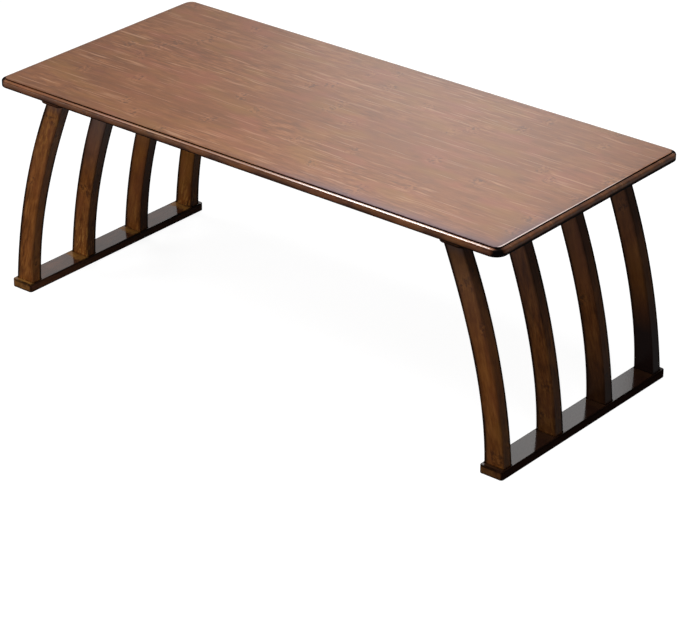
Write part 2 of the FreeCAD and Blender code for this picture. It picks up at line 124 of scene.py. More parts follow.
topValues = {
    "cornerRadius": 0.015,
    "leastRadius": 0.0015,       # of the loops well inside the outline
    "rimWidth": 0.0055,          # lowered rim round the raised panel
    "grooveWidth": 0.0014,       # groove at the foot of the panel's edge
    "grooveDepth": 0.0020,
    "grooveRound": 0.0002,
    "grooveLean": 0.0005,        # of its outer wall
    "facetDrop": 0.00125,        # top of the panel to the inner edge of the rim's sloping facet
    "facetTilt": 20,             # degrees from level
    "noseWidth": 0.0020,         # the nose is a part of an ellipse, from the facet to the plumb edge
    "noseHeight": 0.0026,
    "plumbMargin": 0.001,
    "panelArris": 0.0004,
    "lipHeight": 0.0003,         # last bit of the panel's edge, under its arris
    "underArris": 0.0011,
    "cornerSteps": 20,
    "arrisSteps": 5,
    "noseSteps": 12,
    "facetSteps": 5,
    "sidePoints": 24,
    "innerInsets": [0.052, 0.03, 0.02, 0.014, 0.0105, 0.008],
    # Glaze with painted light and shade: 1 is the full stain, 2 is black painted shade and -1 is a pale
    # painted highlight. Where it has two values, the first is for the front and back and the second for the
    # ends, or for the left end where a note says so. A bell is a centre and a width, and a rise or decline is
    # a start and an end.
    "facetDepth": 0.0024,        # from the panel's top down to the end of the facet's finish
    # Painted shade: the ends' second values are higher, and the round corners and the groove go black
    "facetGlazeAndShade": (0.24, 0.72),
    "edgeGlazeAndShade": (0.40, 0.74),
    "cornerShade": 1.5,
    "grooveShade": (2.0, 1.1),   # the second is for the left end
    "leftReach": 0.30,           # the left end's own values come in over this length
    # Painted shade, darker toward the left end, with a paler facet there as a painted highlight
    "leftShade": 0.10,
    "leftPaleness": 0.08,
    # Painted shade: a dark line low on the nose
    "noseShade": (0.65, 0.45),   # the second is for the left end
    "noseBell": (0.0007, 0.0007),
    "noseTop": 0.0026,           # from the panel's top down to the line
    "noseFoot": 0.004,           # from the underside up to it
    # Painted shade, black, at the foot of the plumb edge
    "footShade": 1.5,            # at the foot of the plumb edge
    "footReach": (0.0024, 0.0029),
    "underGlaze": 0.35,
    "underRise": (0.002, 0.008),
    # Soft dark band on the panel beside the rim, glaze with painted shade, and a wider painted shade at the
    # front of the right end
    "besideGlazeAndShade": 0.30,
    "besideFade": 0.006,
    "rightShade": 0.34,
    "rightReach": 0.14,
    "rightFade": 0.016,
    # Painted highlight on the panel's arris along the right end. It lessens over a share of the half width,
    # front to back.
    "paintedLight": 2.2,
    "highlightBell": (0.0003, 0.0004),
    "paintedLightDepth": 0.0005,
    "highlightDecline": (-0.35, 0.65),
    "leastHighlight": 0.25,
    # Painted highlight: a thin pale line along the outer part of the facet, which fades out toward the left
    # end
    "linePaleness": 0.74,
    "lineBell": (0.0021, 0.0006),
    "lineRise": (-0.37, -0.22),
    # Clear coat
    "facetCoat": (1.0, 0.15),
    "coatAtMiddle": 1.25,        # of the length. The coat never passes 1.
    "coatSlope": 1.1,            # from the middle to the right end
    "leastCoat": 0.15,
    "cornerLoss": 0.9,
    "coatDecline": (0.00236, 0.00396),
    "innerCoat": 0.2,
    "edgeCoat": 0.03,
    # Painted shade, purple-grey, beside the rim, round the front right corner. It rises to the right, and as
    # a share of the half width toward the front.
    "shade": 0.85,
    "shadeAlong": (0.02, 0.14),
    "shadeAcross": (0.15, 0.65),
    "shadeFade": 0.011,
    "hair": 0.0001,              # leeway in telling the profile's parts from each other
}


def tableProfile(values, low, high):
    # Profile as (inset from the outline, height), from the underside round the edge to the panel. The nose
    # ends where its ellipse is as steep as the facet: past 90 degrees by the angle whose tangent is
    # tan(tilt) * width / height.
    rim, arris, under = values["rimWidth"], values["panelArris"], values["underArris"]
    width, height = values["noseWidth"], values["noseHeight"]
    curve, lean, margin = values["grooveRound"], values["grooveLean"], values["plumbMargin"]
    slope = math.tan(math.radians(values["facetTilt"]))
    last = 90 + math.degrees(math.atan(slope * width / height))
    inner = rim - values["grooveWidth"]
    outer = width + width * math.cos(math.radians(last))
    facetZ = high - values["facetDrop"] - (inner - outer) * slope
    centreZ = facetZ - height * math.sin(math.radians(last))
    below = np.array([[inset, low] for inset in values["innerInsets"]])
    lower = arcPoints(under, low + under, under, under, 270, 180, values["arrisSteps"])
    plumb = np.array([[0.0, low + under + margin], [0.0, centreZ - margin]])
    nose = arcPoints(width, centreZ, width, height, 180, last, values["noseSteps"])
    across = np.linspace(0, 1, values["facetSteps"] + 1)[1:]
    facet = np.stack([outer + across * (inner - outer), facetZ + across * (inner - outer) * slope], 1)
    bottom = high - values["grooveDepth"]
    groove = np.array([[inner + curve, bottom + curve], [inner + lean, bottom], [rim - curve, bottom],
                       [rim, bottom + curve], [rim, high - arris - values["lipHeight"]]])
    overArris = arcPoints(rim + arris, high - arris, arris, arris, 180, 90, values["arrisSteps"])
    middle = np.array([[inset, high] for inset in values["innerInsets"][::-1]])
    return np.concatenate([below, lower, plumb, nose, facet, groove, overArris, middle])


def tableFinish(values, rings, inset, height, outward):
    # Glaze with painted shade and highlights, coat, and painted shade as arrays (ring, point). They follow
    # the inset and height of each ring, the way that each point of the outline faces, and the place along the
    # top.
    low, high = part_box("tabletop")
    x, y = rings[..., 0], rings[..., 1]
    inset, height = inset[:, None], height[:, None]
    fromRim = inset - values["rimWidth"]
    atEnd = outward[None, :, 0] ** 2
    atRight = np.clip(outward[None, :, 0], 0, 1) ** 2
    atCorner = 4 * atEnd * (1 - atEnd)       # 1 in the middle of a round corner
    nearLeft = riseOver(-x, high.x - values["leftReach"], high.x)
    nearRight = riseOver(x, high.x - values["rightReach"], high.x) * (y < 0)

    grooveStart = values["rimWidth"] - values["grooveWidth"] + values["hair"]
    onPanel = height > high.z - values["panelArris"]
    onFacet = (height > high.z - values["facetDepth"]) * (inset < grooveStart)
    aboveFoot = height > low.z + values["noseFoot"]
    inGroove = (inset > grooveStart) * (height < high.z - values["lipHeight"]) * aboveFoot
    underneath = (height < low.z + values["hair"]) * riseOver(inset, *values["underRise"])

    # Glaze and painted shade beside the rim, more at the front of the right end and toward the left end
    beside = values["besideGlazeAndShade"] * dieAway(fromRim, values["besideFade"])
    beside = beside + values["rightShade"] * nearRight * dieAway(fromRim, values["rightFade"])
    toFront = np.maximum(1 - riseOver(rings[-1:, :, 1] / high.y, *values["highlightDecline"]), values["leastHighlight"])
    # Painted highlight, pale, on the right end's arris
    paintedHighlight = bell(fromRim, *values["highlightBell"]) * (height > high.z - values["paintedLightDepth"]) * atRight * toFront
    beside = beside + values["leftShade"] * nearLeft - values["paintedLight"] * paintedHighlight

    # Painted highlight: a pale line along the facet, and a paler facet toward the left end
    paleLine = bell(inset, *values["lineBell"]) * riseOver(x, *values["lineRise"])
    paleness = values["leftPaleness"] * nearLeft + values["linePaleness"] * paleLine
    facet = between(values["facetGlazeAndShade"], atEnd) - paleness * (1 - atEnd)

    # Painted shade: black at the foot of the edge, darker on the ends, a dark line low on the nose, black at
    # the round corners and in the groove
    foot = values["footShade"] * bell(height, low.z, between(values["footReach"], atEnd))
    edge = between(values["edgeGlazeAndShade"], atEnd) + foot
    edge = edge + (values["underGlaze"] - edge) * underneath
    onNose = between(values["noseShade"], nearLeft) * bell(inset, *values["noseBell"]) * (1 - atEnd)
    onNose = onNose * aboveFoot * (height < high.z - values["noseTop"])
    dark = values["cornerShade"] * atCorner * (1 - underneath)
    glazeAndPaintedLight = np.where(onPanel, beside, np.where(onFacet, facet + dark, edge + onNose + dark))
    glazeAndPaintedLight = np.where(inGroove, between(values["grooveShade"], nearLeft), glazeAndPaintedLight)

    coat = between(values["facetCoat"], atEnd) * (1 - values["cornerLoss"] * atCorner)
    coat = coat * np.clip(values["coatAtMiddle"] + values["coatSlope"] * x / high.x, values["leastCoat"], 1)
    coat = coat * np.maximum(1 - riseOver(inset, *values["coatDecline"]), values["innerCoat"])
    polish = np.where(onFacet, coat, np.where(onPanel, 0.0, values["edgeCoat"] * (1 - underneath)))

    # Painted shade, purple-grey, round the front right corner
    shade = riseOver(x, *values["shadeAlong"]) * riseOver(-y / high.y, *values["shadeAcross"])
    shade = values["shade"] * shade * onPanel * dieAway(fromRim, values["shadeFade"])
    return {"glazeAndPaintedLight": glazeAndPaintedLight, "polish": polish, "shade": shade}


def makeTabletop(values):
    low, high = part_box("tabletop")
    inset, height = tableProfile(values, low.z, high.z).T
    radius = np.maximum(values["cornerRadius"] - inset, values["leastRadius"])
    loop = roundedLoop(values["cornerSteps"], np.linspace(0, 1, values["sidePoints"] + 2)[1:-1])
    rings = carriedLoops(loop, high.x - inset, high.y - inset, radius, height)
    finish = tableFinish(values, rings, inset, height, loop[1])
    piece = smoothMesh("tabletopBoard", rings, dict(finish, grain=rings))
    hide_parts("tabletop")
    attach(piece, "top")
    return piece


# Legs

legNumbers = (1, 2, 3, 4)        # from the front to the back
legValues = {
    "bow": 0.012,                # rise of the outboard edge over its chord
    "widthShares": [0, 0.2519, 0.6222, 1],
    "widths": [0.0294, 0.0273, 0.0286, 0.0285],
    "arris": 0.0013,
    "arrisSteps": 5,
    "levels": 72,
    "levelEase": 0.08,           # closer levels at both ends
    "sideShares": (0.02, 0.05, 0.09, 0.14, 0.2, 0.3, 0.4, 0.5, 0.6, 0.7, 0.8, 0.86, 0.91, 0.95, 0.98),
    "jointFillet": 0.0006,       # lacquer that has run into the joints with the rails
    # Glaze on the arrises: full so far in from one, then it fades over the reach. The second values are for
    # the two arrises between a wide face and the narrow one that shows with it.
    "glazeFull": (0.0019, 0.0005),
    "glazeStrength": (1.0, 0.45),
    "glazeReach": 0.0016,
    "coat": 0.02,                # on the arrises
    "coatReach": 0.0006,
    # A left or a right row has a value for each leg, 1 to 4. First the painted shade in the middle of a
    # narrow face, and how it lessens from the foot to the head of a right leg
    "narrowShade": {"left": (0.42, 0.50, 0.60, 0.40), "right": (0.50, 0.42, 0.45, 0.45)},
    "narrowDecline": (1.25, 0.35),
    "narrowHeight": 0.28,
    # Painted shadow, near black, toward the foot, and painted shade in a plum tone with a grey painted
    # reflection toward the head. They rise and decline with height.
    "paintedDarkShade": {"left": (0.0, 0.0, 0.10, 0.0), "right": (0.12, 0.58, 0.85, 1.3)},
    "footDecline": (0.016, 0.176),
    "paintedPlumShade": {"left": (0.12, 1.15, 0.85, 0.30), "right": (0.38, 0.55, 0.50, 0.55)},
    "headRise": (0.12, 0.24),
    # Painted shadow right under the top rail, and the most that the painted shade at the head reaches
    "underRailShadow": 0.8,             # right under the top rail
    "topRise": (0.255, 0.275),
    "mostShade": 1.2,
    # Golden flecks near the foot and the head
    "footFlecks": {"left": (0.12, 0.65, 0.30, 0.45), "right": (0.10, 0.15, 0.0, 0.0)},
    "footFleckBell": (0.0, 0.05),
    "headFlecks": {"left": (0.30, 0.1, 0.0, 0.0), "right": (0.1, 0.0, 0.0, 0.0)},
    "headFleckBell": (0.225, 0.045),
    "grainShift": (0.31, 0.113, 0.0),    # from one leg's grain to the next one's
}


def legOutline(values, low, high):
    # Outboard edge: the circle through foot, crown and top, with its crown a bow off the chord.
    # Inboard edge: a width inside it, the cubic in height through the four widths.
    foot = np.array([high.x, low.z])
    top = np.array([low.x + values["widths"][-1], high.z])
    chord = top - foot
    length = np.linalg.norm(chord)
    across = np.array([chord[1], -chord[0]]) / length
    radius = (length ** 2 / 4 + values["bow"] ** 2) / (2 * values["bow"])
    centre = (foot + top) / 2 + across * (values["bow"] - radius)
    share = np.linspace(0, 1, values["levels"] + 1)
    ease = share - np.sin(2 * np.pi * share) * values["levelEase"]
    z = low.z + ease * (high.z - low.z)
    outer = centre[0] + np.sqrt(radius ** 2 - (z - centre[1]) ** 2)
    cubic = np.polyfit(values["widthShares"], values["widths"], 3)
    return z, outer, outer - np.polyval(cubic, ease), chord / length


def legFinish(values, side, number, local, halfX, halfY, height):
    # Glaze with painted shade, coat, painted shadow and shade, and flecks as arrays (ring, point), from the
    # depth in from the narrow faces and from the wide ones, and the distance from the arris between them
    fromNarrow = halfX[:, None] - np.abs(local[..., 0])
    fromWide = halfY[:, None] - np.abs(local[..., 1])
    away = np.maximum(np.maximum(fromNarrow, fromWide) - values["arris"], 0)
    inner = local[..., 0] * local[..., 1] < 0
    # Painted shade on the narrow faces
    onNarrow = (1 - riseOver(fromNarrow, 0, values["arris"])) * values["narrowShade"][side][number - 1]
    if side == "right":
        onNarrow = onNarrow * between(values["narrowDecline"], height / values["narrowHeight"])
    faded = dieAway(away - between(values["glazeFull"], inner), values["glazeReach"])
    # Painted shade toward the head, painted shadow under the top rail and toward the foot
    head = values["paintedPlumShade"][side][number - 1] * riseOver(height, *values["headRise"])
    head = head + values["underRailShadow"] * riseOver(height, *values["topRise"])
    foot = values["paintedDarkShade"][side][number - 1] * (1 - riseOver(height, *values["footDecline"]))
    footFlecks = values["footFlecks"][side][number - 1] * bell(height, *values["footFleckBell"])
    headFlecks = values["headFlecks"][side][number - 1] * bell(height, *values["headFleckBell"])
    return {
        "glazeAndPaintedLight": np.maximum(faded * between(values["glazeStrength"], inner), onNarrow),
        "polish": bell(away, 0, values["coatReach"]) * values["coat"],
        "paintedDarkShade": foot,
        "paintedPlumShade": np.minimum(head, values["mostShade"]),
        "flecks": np.maximum(footFlecks, headFlecks),
    }


def makeLeg(values, side, number):
    # A leg is worked out as one on the right, and its x is turned over for the left
    name = side + "_leg_" + str(number)
    low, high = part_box(name)
    facing = 1 if side == "right" else -1
    farLow, farHigh = min(abs(low.x), abs(high.x)), max(abs(low.x), abs(high.x))
    flat = Vector((farLow, low.y, low.z)), Vector((farHigh, high.y, high.z))
    z, outer, inboard, along = legOutline(values, *flat)
    toEnd = np.minimum(z - low.z, high.z - z)
    flare = values["jointFillet"] * (1 - riseOver(toEnd, 0, values["jointFillet"])) ** 2
    middleY = (low.y + high.y) / 2
    halfX = (outer - inboard) / 2 + flare
    halfY = (high.y - low.y) / 2 + flare
    loop = roundedLoop(values["arrisSteps"], values["sideShares"])
    local = carriedLoops(loop, halfX, halfY, values["arris"], z)
    height = local[..., 2] - low.z
    finish = legFinish(values, side, number, local, halfX, halfY, height)
    x = (outer + inboard)[:, None] / 2 + local[..., 0]
    rings = np.stack([x, middleY + local[..., 1] * facing, local[..., 2]], axis=-1)
    # The grain runs along the chord
    run = x - farHigh
    grain = np.stack([run * along[0] + height * along[1], run * along[1] - height * along[0],
                      rings[..., 1] - middleY], axis=-1)
    grain += np.array(values["grainShift"]) * (number + (len(legNumbers) if side == "left" else 0))
    rings[..., 0] *= facing
    piece = smoothMesh(side + "Leg" + str(number), rings, dict(finish, grain=grain))
    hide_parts(name)
    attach(piece, side + "_frame")
    return piece


tabletop = makeTabletop(topValues)
print("tabletop made:", len(tabletop.data.polygons), "faces")
legs = [makeLeg(legValues, side, number) for side in ("left", "right") for number in legNumbers]
print("legs made:", len(legs))


# Materials

class Graph:
    # A material's nodes, wired with short calls. Sockets are given by name or number.
    def __init__(self, name, tree=None):
        if tree is None:
            self.material = bpy.data.materials.new(name)
            self.material.use_nodes = True
            tree = self.material.node_tree
        self.tree = tree
        self.tree.nodes.clear()

    def add(self, kind, sockets=None, **settings):
        node = self.tree.nodes.new(kind)
        for key, value in settings.items():
            setattr(node, key, value)
        for key, value in (sockets or {}).items():
            self.put(node.inputs[key], value)
        return node

    def put(self, socket, value):
        if isinstance(value, bpy.types.NodeSocket):
            self.tree.links.new(value, socket)
        else:
            socket.default_value = value

    def maths(self, operation, *values):
        node = self.add("ShaderNodeMath", operation=operation)
        for number, value in enumerate(values):
            self.put(node.inputs[number], value)
        return node.outputs[0]

    def plus(self, first, second):
        return self.maths("ADD", first, second)

    def minus(self, first, second):
        return self.maths("SUBTRACT", first, second)

    def times(self, first, second):
        return self.maths("MULTIPLY", first, second)

    def swing(self, value, size):
        # A value that runs from 0 to 1, made to run from minus half the size to half of it
        return self.times(self.minus(value, 0.5), size)

    def fade(self, value, band, low=0.0, high=1.0):
        # Smoothly from low at the band's start to high at its end
        sockets = {"Value": value, "From Min": band[0], "From Max": band[1], "To Min": low, "To Max": high}
        return self.add("ShaderNodeMapRange", sockets, interpolation_type="SMOOTHSTEP").outputs[0]

    def mix(self, share, first, second):
        node = self.add("ShaderNodeMix", data_type="RGBA")
        self.put(node.inputs[0], share)
        self.put(node.inputs[6], first)
        self.put(node.inputs[7], second)
        return node.outputs[2]

    def noise(self, vector, scale, detail=2.0, roughness=0.5, w=None):
        sockets = {"Vector": vector, "Scale": scale, "Detail": detail, "Roughness": roughness}
        if w is None:
            return self.add("ShaderNodeTexNoise", sockets).outputs[0]
        return self.add("ShaderNodeTexNoise", dict(sockets, W=w), noise_dimensions="4D").outputs[0]

    def objectPlace(self):
        return self.add("ShaderNodeTexCoord").outputs["Object"]

    def split(self, vector):
        return self.add("ShaderNodeSeparateXYZ", {0: vector}).outputs[:3]

    def stretched(self, axes, scales):
        parts = {number: self.times(axes[number], scales[number]) for number in range(3)}
        return self.add("ShaderNodeCombineXYZ", parts).outputs[0]

    def bump(self, strength, distance, height):
        sockets = {"Strength": strength, "Distance": distance, "Height": height}
        return self.add("ShaderNodeBump", sockets).outputs[0]

    def shader(self, sockets):
        principled = self.add("ShaderNodeBsdfPrincipled", sockets)
        output = self.add("ShaderNodeOutputMaterial")
        self.tree.links.new(principled.outputs[0], output.inputs[0])
        return self.material


# Bamboo

topLook = {
    "stripWidth": 0.0203, "layer": 0.00555, "seed": 3.0,
    "dark": (0.125, 0.039, 0.010, 1), "mid": (0.205, 0.071, 0.021, 1), "light": (0.315, 0.128, 0.048, 1),
    "golden": (0.230, 0.098, 0.020, 1), "rosy": (0.255, 0.078, 0.036, 1),
    "jointPale": (0.50, 0.27, 0.15, 1), "nodeTint": (0.070, 0.024, 0.011, 1),
    # Painted light and shade: the glaze colour is also the painted shade's, the black is painted shade, the
    # worn pale is a painted highlight, and the foot and head tints are painted shadow and shade
    "glazeAndPaintedLight": (0.036, 0.012, 0.006, 1), "shadeBlack": (0.003, 0.0015, 0.001, 1), "paintedHighlight": (0.66, 0.53, 0.49, 1),
    "darkShadeTint": (0.012, 0.006, 0.005, 1), "plumShadeTint": (0.110, 0.066, 0.088, 1),
    "fleck": (0.40, 0.20, 0.06, 1),
    "cloudScales": (7, 14, 14), "waviness": 0.006, "uneven": (0.50, 1.25),
    "toneSpread": 0.08, "cloudShare": 0.35, "broadShare": 0.30, "streakShare": 0.92, "fibreShare": 1.05,
    "dashShare": 0.42, "jointShare": 0.55, "glazeShare": 0.95, "goldShare": 0.55, "roseShare": 0.50,
    "roughness": 0.42, "polishedRoughness": 0.16, "roughnessSpread": 0.12, "gloss": 0.12,
    "coatRoughness": 0.16, "bump": 0.10,
}
legLook = dict(
    topLook, seed=11.0,
    dark=(0.080, 0.022, 0.004, 1), mid=(0.180, 0.058, 0.012, 1), light=(0.290, 0.110, 0.026, 1),
    golden=(0.22, 0.085, 0.014, 1), rosy=(0.20, 0.06, 0.018, 1),
    jointPale=(0.28, 0.12, 0.035, 1), nodeTint=(0.028, 0.010, 0.005, 1),
    # The head tint is painted shade with a grey painted reflection
    glazeAndPaintedLight=(0.010, 0.004, 0.0025, 1), plumShadeTint=(0.100, 0.066, 0.060, 1), fleck=(0.46, 0.21, 0.050, 1),
    cloudScales=(30, 60, 60), waviness=0.002, uneven=(0.75, 1.2),
    jointShare=0.12, cloudShare=0.9, streakShare=0.9, dashShare=0.2,
    roughness=0.30, polishedRoughness=0.2, gloss=0.02, bump=0.08,
)
railLook = dict(
    legLook, seed=17.0,
    dark=(0.040, 0.014, 0.006, 1), mid=(0.080, 0.028, 0.012, 1), light=(0.120, 0.046, 0.020, 1),
    golden=(0.09, 0.034, 0.012, 1), rosy=(0.08, 0.026, 0.012, 1),
    jointPale=(0.105, 0.044, 0.020, 1), fleck=(0.32, 0.15, 0.035, 1),
    coatRoughness=0.12, gloss=0.0, bump=0.02,
)

# Noises: scales per metre along the grain, across it and through the thickness, then detail, roughness,
# and the slice of 4D noise that one reads, where it has one
bambooNoises = {
    "wander": ((3, 3, 3), 2.0, 0.5, None),
    "warp": ((26, 45, 45), 1.0, 0.5, 2.0),
    "lively": ((7, 15, 15), 1.0, 0.5, 9.0),
    "broad": ((8, 75, 75), 2.0, 0.5, None),
    "streak": ((32, 190, 190), 2.0, 0.6, None),
    "fibre": ((70, 480, 480), 3.0, 0.65, None),
    "golden": ((10, 26, 26), 2.0, 0.5, 4.0),
    "rosy": ((13, 30, 30), 2.0, 0.5, 14.0),
    "dash": ((15, 290, 290), 1.0, 0.5, None),
    "nodeWave": ((30, 110, 110), 2.0, 0.5, None),
    "nodeFleck": ((200, 230, 230), 2.0, 0.6, None),
    "joint": ((16, 30, 30), 2.0, 0.5, None),
    "speck": ((75, 320, 320), 3.0, 0.6, None),
    "uneven": ((25, 60, 60), 3.0, 0.5, None),
    "peel": ((70, 70, 70), 1.0, 0.5, None),
}
bambooValues = {
    "jointDrift": 0.05,          # wander of the joints, in strips
    "layerShift": 0.37,          # from one layer's joints to the next one's, in strips
    "sliceSpread": 37.0,         # the strips' own slices of noise lie in this range
    "cloudDetail": 3.0,
    "liveliness": (0.55, 1.25),
    "rampEnds": (0.15, 0.85),
    "nodeSpacing": (0.20, 0.36),
    "nodeWander": 0.022,
    "nodeStarts": 7.3,
    "nodeReach": (0.003, 0.013),
    "nodeShare": 0.60,
    "paleJoint": (0.0005, 0.0016),
    "darkJoint": (0.0004, 0.0018),
    # Levels of noise between which a mark comes in
    "livelyBand": (0.38, 0.62),
    "patchBand": (0.50, 0.68),
    "paleDashBand": (0.60, 0.70),
    "darkDashBand": (0.40, 0.30),
    "darkFleckBand": (0.53, 0.59),
    "paleFleckBand": (0.47, 0.41),
    "jointBand": (0.48, 0.62),
    "speckBand": (0.50, 0.60),
    "unevenBand": (0.3, 0.7),
    # Levels of glaze at which its painted shade turns black, its painted highlight shows pale and it loses
    # its gloss
    "shadeBlackBand": (1.2, 1.6),
    "highlightBand": (-0.1, -0.8),
    "dullBand": (0.4, 1.3),
    "relief": {"fibre": 0.000035, "node": 0.00004, "joint": -0.00003, "peel": 0.00003},
    "refraction": 1.5,
}


def grainNoise(graph, axes, kind, ownSlice=None):
    # Noise stretched along the grain. A strip can read a slice of its own.
    scales, detail, roughness, fixedSlice = bambooNoises[kind]
    picked = fixedSlice if ownSlice is None else ownSlice
    return graph.noise(graph.stretched(axes, scales), 1.0, detail, roughness, picked)


def boardGrain(graph, place):
    # Grain coordinates as (along, across, depth), from the piece's own attribute or a turned object
    if place["from"] == "attribute":
        return graph.split(graph.add("ShaderNodeAttribute", attribute_name="grain").outputs["Vector"])
    sockets = {"Vector": graph.objectPlace(), "Rotation": place["turn"], "Location": place["shift"]}
    return graph.split(graph.add("ShaderNodeMapping", sockets).outputs[0])


def stripPlan(graph, axes, look):
    # Which strip a point is in, as three chance values and a slice of noise, and its share across the strip
    along, across, depth = axes
    layer = graph.maths("FLOOR", graph.maths("DIVIDE", depth, look["layer"]))
    drift = graph.swing(grainNoise(graph, axes, "wander"), bambooValues["jointDrift"])
    position = graph.plus(graph.maths("DIVIDE", across, look["stripWidth"]), drift)
    position = graph.plus(position, graph.times(layer, bambooValues["layerShift"]))
    strip = graph.maths("FLOOR", position)
    key = graph.add("ShaderNodeCombineXYZ", {0: strip, 1: layer, 2: look["seed"]}).outputs[0]
    white = graph.add("ShaderNodeTexWhiteNoise", {"Vector": key}, noise_dimensions="3D")
    chance = graph.add("ShaderNodeSeparateColor", {0: white.outputs["Color"]}).outputs
    ownSlice = graph.times(chance[1], bambooValues["sliceSpread"])
    return chance, ownSlice, graph.maths("FRACT", position)


def stripColour(graph, axes, look, chance, ownSlice):
    # A tone for each strip, with streaks and fibres, patches where the stain has turned golden or rosy, and
    # short dashes. The grain runs a little wavy, and is livelier in some places than in others.
    values = bambooValues
    bent = graph.swing(grainNoise(graph, axes, "warp"), look["waviness"])
    wavy = (axes[0], graph.plus(axes[1], bent), axes[2])
    lively = graph.fade(grainNoise(graph, axes, "lively"), values["livelyBand"], *values["liveliness"])
    fibre = grainNoise(graph, wavy, "fibre", ownSlice)
    cloud = graph.noise(graph.stretched(axes, look["cloudScales"]), 1.0, values["cloudDetail"])
    layers = (
        (grainNoise(graph, wavy, "broad", ownSlice), "broadShare", 1.0),
        (grainNoise(graph, wavy, "streak", ownSlice), "streakShare", lively),
        (fibre, "fibreShare", lively),
        (cloud, "cloudShare", 1.0),
    )
    level = graph.plus(graph.swing(chance[0], look["toneSpread"]), 0.5)
    for value, share, strength in layers:
        level = graph.plus(level, graph.times(graph.swing(value, look[share]), strength))
    ramp = graph.add("ShaderNodeValToRGB", {0: level})
    first, last = ramp.color_ramp.elements
    first.color, last.color = look["dark"], look["light"]
    first.position, last.position = values["rampEnds"]
    ramp.color_ramp.elements.new(0.5).color = look["mid"]
    colour = ramp.outputs[0]
    for tint, share in (("golden", "goldShare"), ("rosy", "roseShare")):
        patch = graph.fade(grainNoise(graph, axes, tint), values["patchBand"])
        colour = graph.mix(graph.times(patch, look[share]), colour, look[tint])
    dash = grainNoise(graph, wavy, "dash", ownSlice)
    strength = graph.times(lively, look["dashShare"])
    for band, tint in (("paleDashBand", "jointPale"), ("darkDashBand", "dark")):
        colour = graph.mix(graph.times(graph.fade(dash, values[band]), strength), colour, look[tint])
    return colour, fibre


def nodeMarks(graph, axes, chance, ownSlice):
    # A node of the bamboo: a short patch on each strip, full of dark and pale flecks.
    # Each strip has its own spacing and start.
    values = bambooValues
    spacing = graph.fade(chance[2], (0, 1), *values["nodeSpacing"])
    shift = graph.swing(grainNoise(graph, axes, "nodeWave", ownSlice), values["nodeWander"])
    travel = graph.maths("DIVIDE", graph.plus(axes[0], shift), spacing)
    travel = graph.plus(travel, graph.times(chance[1], values["nodeStarts"]))
    share = graph.minus(graph.maths("FRACT", travel), 0.5)
    away = graph.times(graph.maths("ABSOLUTE", share), spacing)
    patch = graph.fade(away, values["nodeReach"], 1.0, 0.0)
    fleck = grainNoise(graph, axes, "nodeFleck", ownSlice)
    dark = graph.times(graph.fade(fleck, values["darkFleckBand"]), patch)
    pale = graph.times(graph.fade(fleck, values["paleFleckBand"]), patch)
    return patch, dark, pale


def jointMarks(graph, axes, look, within):
    # A joint shows here and there, as a pale line with a dark one beside it
    values = bambooValues
    paleSide = graph.times(graph.minus(1.0, within), look["stripWidth"])
    darkSide = graph.times(within, look["stripWidth"])
    joint = graph.fade(paleSide, values["paleJoint"], 1.0, 0.0)
    shadow = graph.fade(darkSide, values["darkJoint"], 1.0, 0.0)
    broken = graph.fade(grainNoise(graph, axes, "joint"), values["jointBand"])
    shown = graph.times(broken, look["jointShare"])
    return joint, graph.times(joint, shown), graph.times(shadow, shown)


